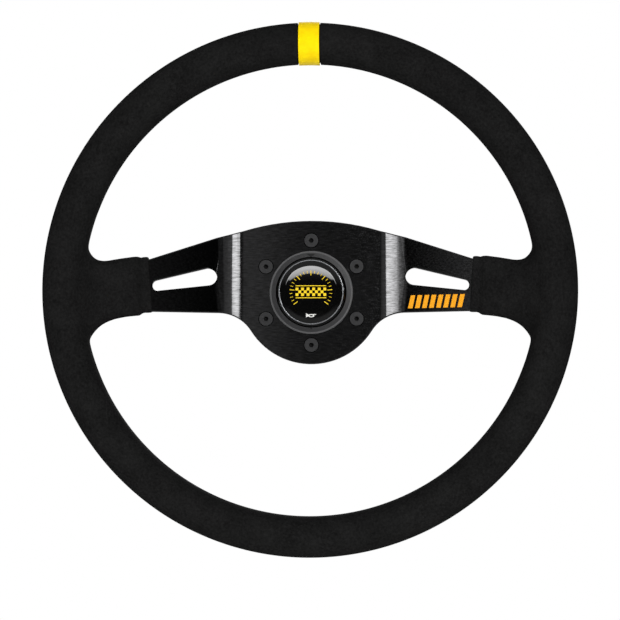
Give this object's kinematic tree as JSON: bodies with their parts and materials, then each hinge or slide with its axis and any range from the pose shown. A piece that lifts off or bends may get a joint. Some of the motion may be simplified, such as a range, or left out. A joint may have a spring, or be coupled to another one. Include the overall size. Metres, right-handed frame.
{
  "type": "quick release steering wheel",
  "caption": "Rally steering wheel with a suede rim, bent slotted spoke plate, domed horn button and a ball-lock quick-release coupler behind the hub.",
  "frame": {"origin": "on the steering axis, where the coupler's pilot bore begins, 1 mm inside its mouth", "axes": "+Y along the steering axis towards the column, -Y towards the driver, +Z to the top of the wheel"},
  "size_m": [0.35, 0.1193, 0.3503],
  "materials": {
    "suede": "nappy black suede, matte",
    "marker_leather": "smooth yellow leather",
    "rim_foam": "moulded polyurethane foam",
    "hoop_aluminium": "as rolled",
    "rivet_aluminium": "as headed",
    "black_anodised_plate": "brushed, black anodised aluminium",
    "black_oxide_steel": "black oxide",
    "coupler_steel": "turned and zinc plated",
    "spline_steel": "broached and hardened",
    "spring_steel": "oiled spring steel",
    "collar_aluminium": "turned, black anodised aluminium",
    "ball_steel": "polished ball-bearing steel",
    "seal_rubber": "matte",
    "ring_plastic": "moulded, fine satin",
    "inner_plastic": "moulded",
    "button_plastic": "moulded, gloss black",
    "trim_chrome": "dark chrome",
    "dome_resin": "clear resin over black print",
    "contact_brass": "bright brass"
  },
  "bodies": {
    "wheel": {"rim_hoop": "hoop_aluminium", "rim_rivets": "rivet_aluminium", "rim_foam": "rim_foam", "suede_cover": "suede", "centre_marker": "marker_leather", "spoke_plate": "black_anodised_plate", "hub_screws": "black_oxide_steel", "coupler_body": "coupler_steel", "spline_insert": "spline_steel", "insert_clip": "spring_steel", "bore_seal": "seal_rubber", "stop_clip": "spring_steel", "stop_washer": "coupler_steel", "collar_spring": "spring_steel", "horn_ring": "ring_plastic", "horn_base": "inner_plastic", "horn_terminals": "contact_brass", "fixed_contact": "contact_brass", "horn_spring": "spring_steel"},
    "horn_button": {"button_cap": "button_plastic", "button_trim": "trim_chrome", "button_dome": "dome_resin", "contact_disc": "contact_brass"},
    "collar": {"release_collar": "collar_aluminium"},
    "ball_1": {"lock_ball_1": "ball_steel"},
    "ball_2": {"lock_ball_2": "ball_steel"},
    "ball_3": {"lock_ball_3": "ball_steel"},
    "ball_4": {"lock_ball_4": "ball_steel"},
    "ball_5": {"lock_ball_5": "ball_steel"},
    "ball_6": {"lock_ball_6": "ball_steel"}
  },
  "joints": [
    {"name": "horn_button_press", "type": "slide", "parent": "wheel", "child": "horn_button", "axis": [0, 1, 0], "range_m": [0, 0.0025], "stiffness_N_per_m": 1500, "springref_m": -0.004, "deforming": ["horn_spring"]},
    {"name": "collar_pull", "type": "slide", "parent": "wheel", "child": "collar", "axis": [0, -1, 0], "range_m": [0, 0.008], "stiffness_N_per_m": 2500, "springref_m": -0.008, "deforming": ["collar_spring"]},
    {"name": "ball_1_lift", "type": "slide", "parent": "wheel", "child": "ball_1", "axis": [0, 0, 1], "range_m": [0, 0.002]},
    {"name": "ball_2_lift", "type": "slide", "parent": "wheel", "child": "ball_2", "axis": [0.866, 0, 0.5], "range_m": [0, 0.002]},
    {"name": "ball_3_lift", "type": "slide", "parent": "wheel", "child": "ball_3", "axis": [0.866, 0, -0.5], "range_m": [0, 0.002]},
    {"name": "ball_4_lift", "type": "slide", "parent": "wheel", "child": "ball_4", "axis": [0, 0, -1], "range_m": [0, 0.002]},
    {"name": "ball_5_lift", "type": "slide", "parent": "wheel", "child": "ball_5", "axis": [-0.866, 0, -0.5], "range_m": [0, 0.002]},
    {"name": "ball_6_lift", "type": "slide", "parent": "wheel", "child": "ball_6", "axis": [-0.866, 0, 0.5], "range_m": [0, 0.002]}
  ],
  "couplings": [
    {"joint": "ball_1_lift", "follows": "collar_pull", "ratio": 0.25},
    {"joint": "ball_2_lift", "follows": "collar_pull", "ratio": 0.25},
    {"joint": "ball_3_lift", "follows": "collar_pull", "ratio": 0.25},
    {"joint": "ball_4_lift", "follows": "collar_pull", "ratio": 0.25},
    {"joint": "ball_5_lift", "follows": "collar_pull", "ratio": 0.25},
    {"joint": "ball_6_lift", "follows": "collar_pull", "ratio": 0.25}
  ]
}
